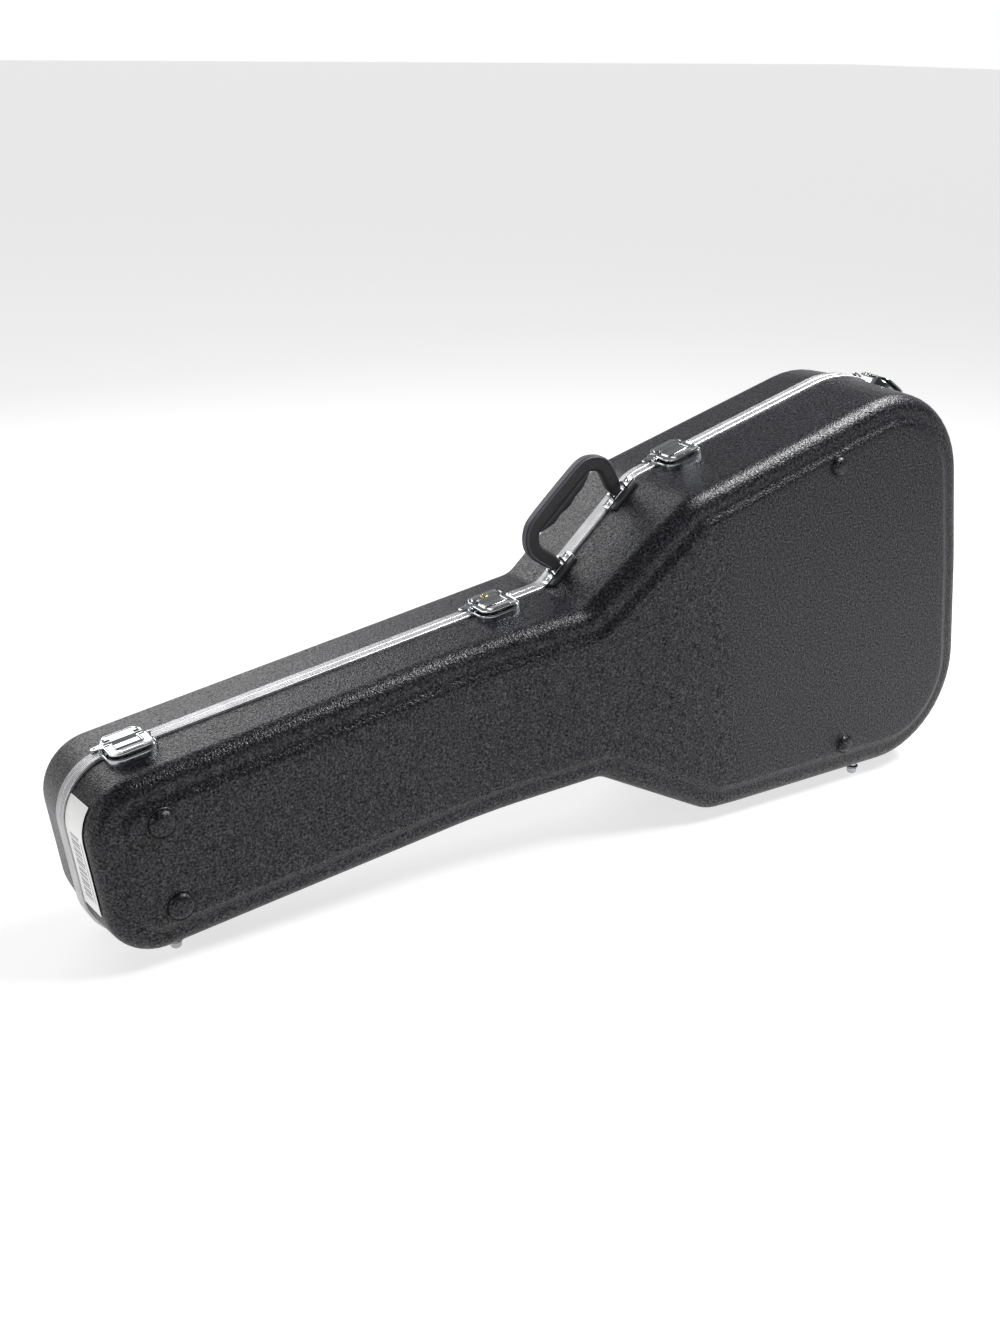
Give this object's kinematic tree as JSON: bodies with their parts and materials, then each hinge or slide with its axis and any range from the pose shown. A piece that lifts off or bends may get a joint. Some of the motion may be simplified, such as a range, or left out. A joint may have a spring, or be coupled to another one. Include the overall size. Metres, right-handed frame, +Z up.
{
  "type": "guitar case",
  "caption": "Hard moulded guitar case standing on its long side: hinged lid, edge valances, draw latches with a key lock, swinging carry handle and fitted lining.",
  "frame": {"origin": "centre of the bounding box, on the floor under the studs", "axes": "+X along the case from the neck end to the body end, +Y from the base shell to the lid shell, +Z up to the handle side"},
  "size_m": [1.1144, 0.202, 0.4831],
  "materials": {
    "shell_abs": "haircell grain",
    "moulded_black": "satin",
    "valance_aluminium": "bright ribbed",
    "chrome_hardware": "polished",
    "steel_pins": "plain",
    "lock_brass": "polished",
    "handle_plastic": "fine leather grain",
    "handle_soft_grip": "matt",
    "plush_lining": "short plush",
    "label": "paper"
  },
  "bodies": {
    "case_base": {"base_shell": "shell_abs", "base_valance": "valance_aluminium", "base_lining": "plush_lining", "neck_cradle": "plush_lining", "accessory_box": "plush_lining", "accessory_hinge_rod": "steel_pins", "accessory_hinge_ears": "steel_pins", "hinge_leaves_base": "chrome_hardware", "hinge_pins": "steel_pins", "side_studs_base": "chrome_hardware", "face_feet": "moulded_black", "end_label": "label", "latch_1_plate": "chrome_hardware", "latch_1_lever_pins": "steel_pins", "latch_2_plate": "chrome_hardware", "latch_2_lever_pins": "steel_pins", "latch_3_plate": "chrome_hardware", "latch_3_lever_pins": "steel_pins", "latch_4_plate": "chrome_hardware", "latch_4_lever_pins": "steel_pins", "latch_rivets": "chrome_hardware", "handle_brackets": "chrome_hardware", "handle_pins": "steel_pins", "handle_rivets": "chrome_hardware", "handle_pads": "moulded_black"},
    "case_lid": {"lid_shell": "shell_abs", "lid_valance": "valance_aluminium", "lid_lining": "plush_lining", "hinge_leaves_lid": "chrome_hardware", "side_studs_lid": "chrome_hardware", "latch_1_catch": "chrome_hardware", "latch_2_catch": "chrome_hardware", "latch_3_catch": "chrome_hardware", "latch_4_catch": "chrome_hardware"},
    "handle": {"handle_bow": "handle_plastic", "handle_grip": "handle_soft_grip"},
    "accessory_flap": {"accessory_lid": "plush_lining"},
    "latch_1_lever": {"latch_1_lever": "chrome_hardware", "latch_1_hasp_pin": "steel_pins"},
    "latch_1_hasp": {"latch_1_hasp": "chrome_hardware"},
    "latch_2_lever": {"latch_2_lever": "chrome_hardware", "latch_2_hasp_pin": "steel_pins"},
    "latch_2_hasp": {"latch_2_hasp": "chrome_hardware"},
    "latch_3_lever": {"latch_3_lever": "chrome_hardware", "latch_3_hasp_pin": "steel_pins"},
    "latch_3_hasp": {"latch_3_hasp": "chrome_hardware"},
    "latch_4_lever": {"latch_4_lever": "chrome_hardware", "latch_4_hasp_pin": "steel_pins"},
    "latch_4_hasp": {"latch_4_hasp": "chrome_hardware"},
    "key_lock": {"lock_cylinder": "lock_brass"}
  },
  "joints": [
    {"name": "lid_hinge", "type": "hinge", "parent": "case_base", "child": "case_lid", "pos_m": [0.07233, 0.02, 0.005], "axis": [-1, 0, 0], "range_deg": [0, 100]},
    {"name": "latch_1_lever_pivot", "type": "hinge", "parent": "case_base", "child": "latch_1_lever", "pos_m": [-0.48999, 0.013, 0.21914], "axis": [-0.9869, 0, -0.1614], "range_deg": [0, 100]},
    {"name": "latch_1_hasp_pivot", "type": "hinge", "parent": "latch_1_lever", "child": "latch_1_hasp", "pos_m": [-0.48999, 0.004, 0.21914], "axis": [-0.9869, 0, -0.1614], "range_deg": [-115, 0]},
    {"name": "latch_2_lever_pivot", "type": "hinge", "parent": "case_base", "child": "latch_2_lever", "pos_m": [-0.07841, 0.013, 0.28646], "axis": [-0.9869, 0, -0.1614], "range_deg": [0, 100]},
    {"name": "latch_2_hasp_pivot", "type": "hinge", "parent": "latch_2_lever", "child": "latch_2_hasp", "pos_m": [-0.07841, 0.004, 0.28646], "axis": [-0.9869, 0, -0.1614], "range_deg": [-115, 0]},
    {"name": "latch_3_lever_pivot", "type": "hinge", "parent": "case_base", "child": "latch_3_lever", "pos_m": [0.15962, 0.013, 0.42159], "axis": [-0.959, 0, -0.2834], "range_deg": [0, 100]},
    {"name": "latch_3_hasp_pivot", "type": "hinge", "parent": "latch_3_lever", "child": "latch_3_hasp", "pos_m": [0.15962, 0.004, 0.42159], "axis": [-0.959, 0, -0.2834], "range_deg": [-115, 0]},
    {"name": "latch_4_lever_pivot", "type": "hinge", "parent": "case_base", "child": "latch_4_lever", "pos_m": [0.47357, 0.013, 0.46529], "axis": [-0.8229, 0, 0.5681], "range_deg": [0, 100]},
    {"name": "latch_4_hasp_pivot", "type": "hinge", "parent": "latch_4_lever", "child": "latch_4_hasp", "pos_m": [0.47357, 0.004, 0.46529], "axis": [-0.8229, 0, 0.5681], "range_deg": [-115, 0]},
    {"name": "key_turn", "type": "hinge", "parent": "latch_2_hasp", "child": "key_lock", "pos_m": [-0.07879, 0.024, 0.28882], "axis": [-0.1614, 0, 0.9869], "range_deg": [0, 90]},
    {"name": "handle_swing", "type": "hinge", "parent": "case_base", "child": "handle", "pos_m": [0.04437, 0.014, 0.35071], "axis": [0.7304, 0, 0.683], "range_deg": [-45, 45]},
    {"name": "accessory_flap_hinge", "type": "hinge", "parent": "case_base", "child": "accessory_flap", "pos_m": [-0.14535, -0.0115, 0.12408], "axis": [-0.9893, 0, -0.1458], "range_deg": [0, 80]}
  ],
  "couplings": [
    {"joint": "latch_1_hasp_pivot", "follows": "latch_1_lever_pivot", "ratio": -1.15},
    {"joint": "latch_2_hasp_pivot", "follows": "latch_2_lever_pivot", "ratio": -1.15},
    {"joint": "latch_3_hasp_pivot", "follows": "latch_3_lever_pivot", "ratio": -1.15},
    {"joint": "latch_4_hasp_pivot", "follows": "latch_4_lever_pivot", "ratio": -1.15}
  ]
}
